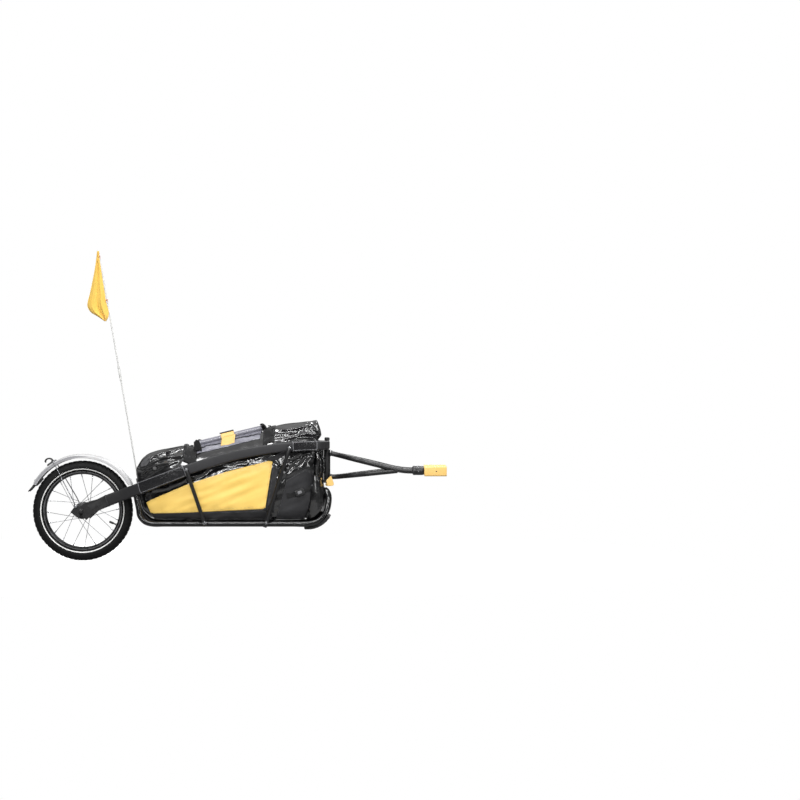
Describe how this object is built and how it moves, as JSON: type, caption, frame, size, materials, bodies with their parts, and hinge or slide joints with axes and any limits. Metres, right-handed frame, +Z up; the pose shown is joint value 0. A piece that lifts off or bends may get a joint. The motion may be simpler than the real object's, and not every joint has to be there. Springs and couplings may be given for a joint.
{
  "type": "bicycle trailer",
  "caption": "Single wheel touring trailer: a beam frame holding a roll-top bag, a rear wheel under a fender, a pennant on a pole and a swinging yoke that clips to a bicycle's rear axle.",
  "frame": {"origin": "on the ground under the middle of the overall length, on the centre plane", "axes": "+X forward towards the bicycle, +Y to the left, +Z up"},
  "size_m": [1.6713, 0.3348, 1.2456],
  "materials": {
    "tyre_rubber": "satin",
    "tube_rubber": "satin",
    "black_alloy": "satin black paint",
    "steel": "polished",
    "silver_plastic": "silver",
    "black_rubber": "matte",
    "black_plastic": "matte",
    "black_strap": "matte",
    "glossy_black_coating": "glossy coating",
    "grey_coating": "glossy coating",
    "yellow_coating": "satin coating",
    "yellow_cloth": "matte",
    "white_rod": "satin",
    "yellow_plastic": "satin"
  },
  "bodies": {
    "frame": {"axle": "steel", "skewer": "steel", "fender": "silver_plastic", "mudflap": "black_rubber", "fender_stay": "steel", "light_bracket": "black_plastic", "dropout_left": "black_alloy", "dropout_right": "black_alloy", "side_beam_left": "black_alloy", "side_beam_right": "black_alloy", "front_crossmember": "black_alloy", "base_rail_left": "black_alloy", "base_rail_right": "black_alloy", "crossbar_rear": "black_alloy", "crossbar_front": "black_alloy", "strut_rear_left": "black_alloy", "strut_rear_right": "black_alloy", "strut_front_left": "black_alloy", "strut_front_right": "black_alloy", "wheel_bridge": "black_alloy", "skid_pad": "black_rubber", "flag_socket": "black_plastic", "bag_body": "glossy_black_coating", "bag_panel_left": "yellow_coating", "bag_panel_right": "yellow_coating", "bag_roll": "grey_coating", "grip_wrap": "yellow_coating", "strap_rear": "black_strap", "strap_front": "black_strap", "bag_flap_rear_left": "glossy_black_coating", "bag_flap_rear_right": "glossy_black_coating", "bag_flap_front_left": "glossy_black_coating", "bag_flap_front_right": "glossy_black_coating"},
    "wheel": {"tyre": "tyre_rubber", "inner_tube": "tube_rubber", "rim": "black_alloy", "spokes_right": "steel", "spokes_left": "steel", "hub_shell": "black_alloy", "bearing_right": "steel", "bearing_left": "steel"},
    "skewer_lever": {"skewer_lever": "black_alloy"},
    "yoke": {"yoke_steerer": "black_alloy", "bushing_lower": "steel", "bushing_upper": "steel", "pivot_pin": "steel", "yoke_arm_left": "black_alloy", "yoke_arm_right": "black_alloy", "hitch_end_left": "black_alloy", "hitch_end_right": "black_alloy", "yoke_brace_left": "black_alloy", "yoke_brace_right": "black_alloy", "hitch_spring_left": "steel", "hitch_spring_right": "steel"},
    "pivot_lever": {"pivot_lever": "yellow_plastic"},
    "hitch_sleeve_left": {"hitch_sleeve_left": "yellow_plastic"},
    "hitch_sleeve_right": {"hitch_sleeve_right": "yellow_plastic"},
    "flag": {"flag_pole_lower": "white_rod", "flag_pole_upper": "white_rod", "pennant": "yellow_cloth"}
  },
  "joints": [
    {"name": "wheel_spin", "type": "hinge", "parent": "frame", "child": "wheel", "pos_m": [-0.617, 0, 0.1995], "axis": [0, 1, 0], "continuous": true},
    {"name": "skewer_lever_swing", "type": "hinge", "parent": "frame", "child": "skewer_lever", "pos_m": [-0.617, 0.0716, 0.1995], "axis": [-0.3746, 0, 0.9272], "range_deg": [0, 150]},
    {"name": "yoke_yaw", "type": "hinge", "parent": "frame", "child": "yoke", "pos_m": [0.359, 0, 0.38], "axis": [0, 0, 1], "range_deg": [-38, 38]},
    {"name": "pivot_lever_swing", "type": "hinge", "parent": "yoke", "child": "pivot_lever", "pos_m": [0.359, 0, 0.3039], "axis": [0, 1, 0], "range_deg": [0, 55]},
    {"name": "hitch_sleeve_left_slide", "type": "slide", "parent": "yoke", "child": "hitch_sleeve_left", "axis": [-1, 0, 0], "range_m": [0, 0.024], "stiffness_N_per_m": 500, "springref_m": -0.012, "deforming": ["hitch_spring_left"]},
    {"name": "hitch_sleeve_right_slide", "type": "slide", "parent": "yoke", "child": "hitch_sleeve_right", "axis": [-1, 0, 0], "range_m": [0, 0.024], "stiffness_N_per_m": 500, "springref_m": -0.012, "deforming": ["hitch_spring_right"]},
    {"name": "flag_pole_slide", "type": "slide", "parent": "frame", "child": "flag", "axis": [-0.1711, 0, 0.9853], "range_m": [0, 0.07]}
  ]
}
